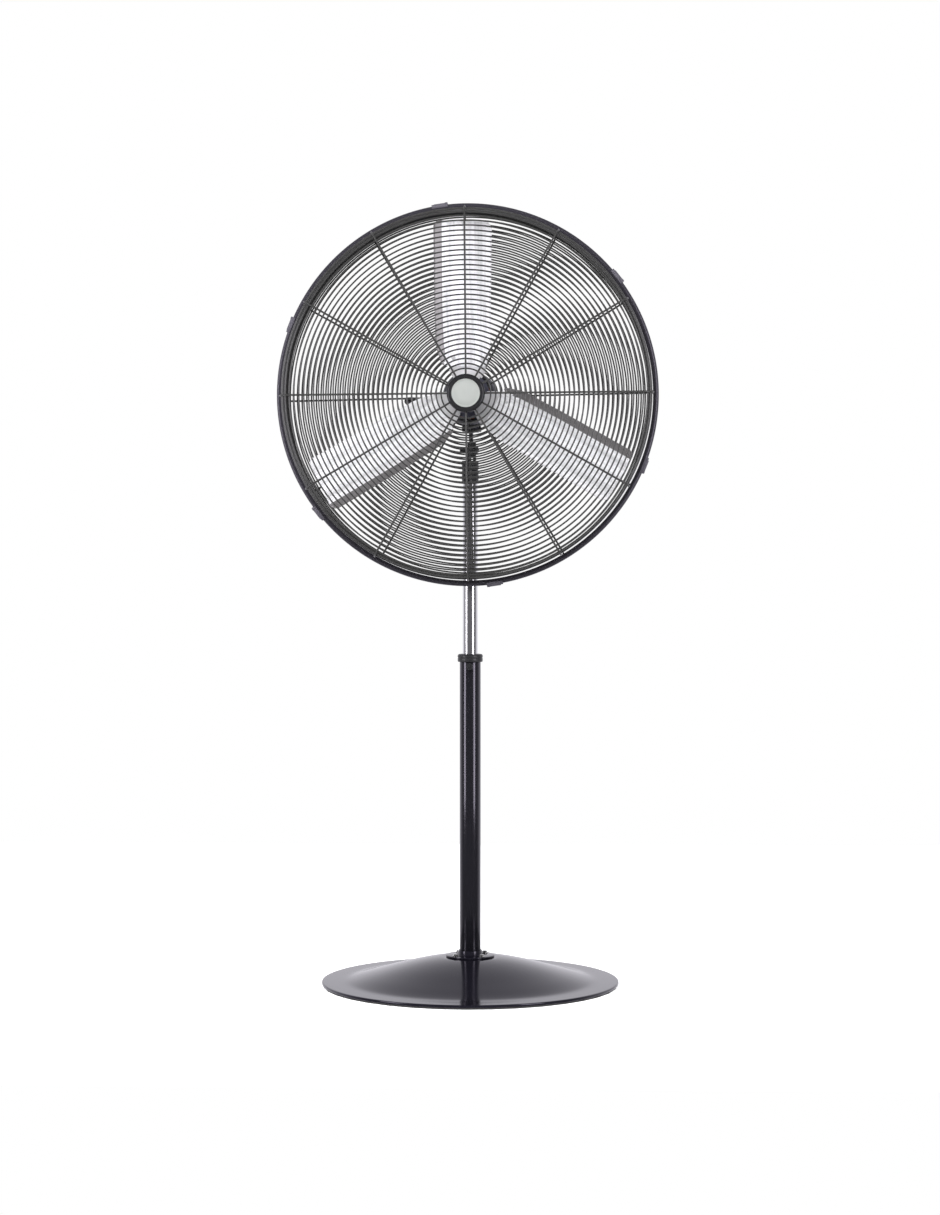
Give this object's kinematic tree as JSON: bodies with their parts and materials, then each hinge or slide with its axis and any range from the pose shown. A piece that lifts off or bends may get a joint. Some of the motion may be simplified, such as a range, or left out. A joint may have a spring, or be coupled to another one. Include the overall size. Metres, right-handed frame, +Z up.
{
  "type": "pedestal fan",
  "caption": "Industrial pedestal fan with a three-blade metal rotor in a round wire cage, a telescopic column and a weighted dish base.",
  "frame": {"origin": "middle of the base on the floor", "axes": "+Z up the column, -Y the way the fan faces, +X to the right seen from the front"},
  "size_m": [0.796, 0.64, 1.6601],
  "materials": {
    "gloss_black": "deep gloss black enamel",
    "satin_black": "satin black paint",
    "guard_enamel": "dark enamelled wire",
    "rim_enamel": "dark grey enamel with a soft sheen",
    "motor_enamel": "blue-grey motor enamel",
    "chrome": "bright chrome plate",
    "zinc": "zinc-plated steel",
    "aluminium": "mill-finish rolled sheet",
    "cast_iron": "rough casting",
    "black_plastic": "moulded black plastic",
    "gloss_plastic": "polished black plastic",
    "rubber": "black rubber",
    "copper": "varnished copper wire",
    "lamination_steel": "stacked electrical steel",
    "silver_badge": "satin silver foil",
    "capacitor_skin": "grey plastic can"
  },
  "bodies": {
    "base": {"base_dish": "gloss_black", "floor_ring": "rubber", "base_ballast": "cast_iron", "pole_flange": "gloss_black", "flange_bolt_1": "zinc", "flange_bolt_2": "zinc", "flange_bolt_3": "zinc", "flange_bolt_4": "zinc", "outer_tube": "gloss_black", "tube_collar": "black_plastic", "slide_bush": "black_plastic", "height_lock_nut": "gloss_black"},
    "height_lock": {"height_lock_screw": "black_plastic"},
    "mast": {"inner_tube": "chrome", "tube_foot": "black_plastic"},
    "neck": {"neck_fork": "satin_black", "tilt_nut": "zinc"},
    "swivel_lock": {"swivel_lock_screw": "black_plastic"},
    "tilt_lock": {"tilt_lock_screw": "black_plastic"},
    "head": {"tilt_tongue": "satin_black", "tongue_bolt_front": "satin_black", "tongue_bolt_rear": "satin_black", "tongue_nut_front": "satin_black", "tongue_nut_rear": "satin_black", "motor_shell": "motor_enamel", "motor_front_bell": "motor_enamel", "motor_rear_bell": "motor_enamel", "stator_core": "lamination_steel", "stator_winding": "copper", "bearing_front": "zinc", "bearing_rear": "zinc", "guard_ring_nut": "black_plastic", "switch_case": "black_plastic", "speed_switch": "black_plastic", "capacitor": "capacitor_skin", "cord_gland": "black_plastic", "handle_rod": "zinc", "handle_grip": "gloss_plastic", "front_guard": "guard_enamel", "rear_guard": "guard_enamel", "rim_band": "rim_enamel", "rim_clip_1": "zinc", "rim_clip_2": "zinc", "rim_clip_3": "zinc", "rim_clip_4": "zinc", "rim_clip_5": "zinc", "rim_clip_6": "zinc", "hub_cap": "gloss_plastic", "hub_badge": "silver_badge"},
    "speed_dial": {"speed_knob": "black_plastic"},
    "rotor": {"motor_shaft": "zinc", "rotor_core": "lamination_steel", "blade_hub": "motor_enamel", "hub_nut": "zinc", "blade_1": "aluminium", "blade_2": "aluminium", "blade_3": "aluminium", "rivet_strip_1": "aluminium", "rivet_strip_2": "aluminium", "rivet_strip_3": "aluminium"}
  },
  "joints": [
    {"name": "height_slide", "type": "slide", "parent": "base", "child": "mast", "axis": [0, 0, 1], "range_m": [-0.1, 0.25]},
    {"name": "height_lock_turn", "type": "hinge", "parent": "base", "child": "height_lock", "pos_m": [0, -0.03, 0.687], "axis": [0, -1, 0], "range_deg": [0, 360]},
    {"name": "mast_swivel", "type": "hinge", "parent": "mast", "child": "neck", "pos_m": [0, 0, 1.103], "axis": [0, 0, 1], "range_deg": [-180, 180]},
    {"name": "swivel_lock_turn", "type": "hinge", "parent": "neck", "child": "swivel_lock", "pos_m": [0, 0.025, 1.097], "axis": [0, 1, 0], "range_deg": [0, 360]},
    {"name": "head_tilt", "type": "hinge", "parent": "neck", "child": "head", "pos_m": [0.0035, 0, 1.15], "axis": [1, 0, 0], "range_deg": [-30, 10]},
    {"name": "tilt_lock_turn", "type": "hinge", "parent": "neck", "child": "tilt_lock", "pos_m": [-0.0145, 0, 1.15], "axis": [-1, 0, 0], "range_deg": [0, 360]},
    {"name": "speed_dial_turn", "type": "hinge", "parent": "head", "child": "speed_dial", "pos_m": [0, 0.125, 1.26], "axis": [0, 1, 0], "range_deg": [0, 135]},
    {"name": "blade_spin", "type": "hinge", "parent": "head", "child": "rotor", "pos_m": [0, -0.162, 1.26], "axis": [0, -1, 0], "continuous": true}
  ]
}
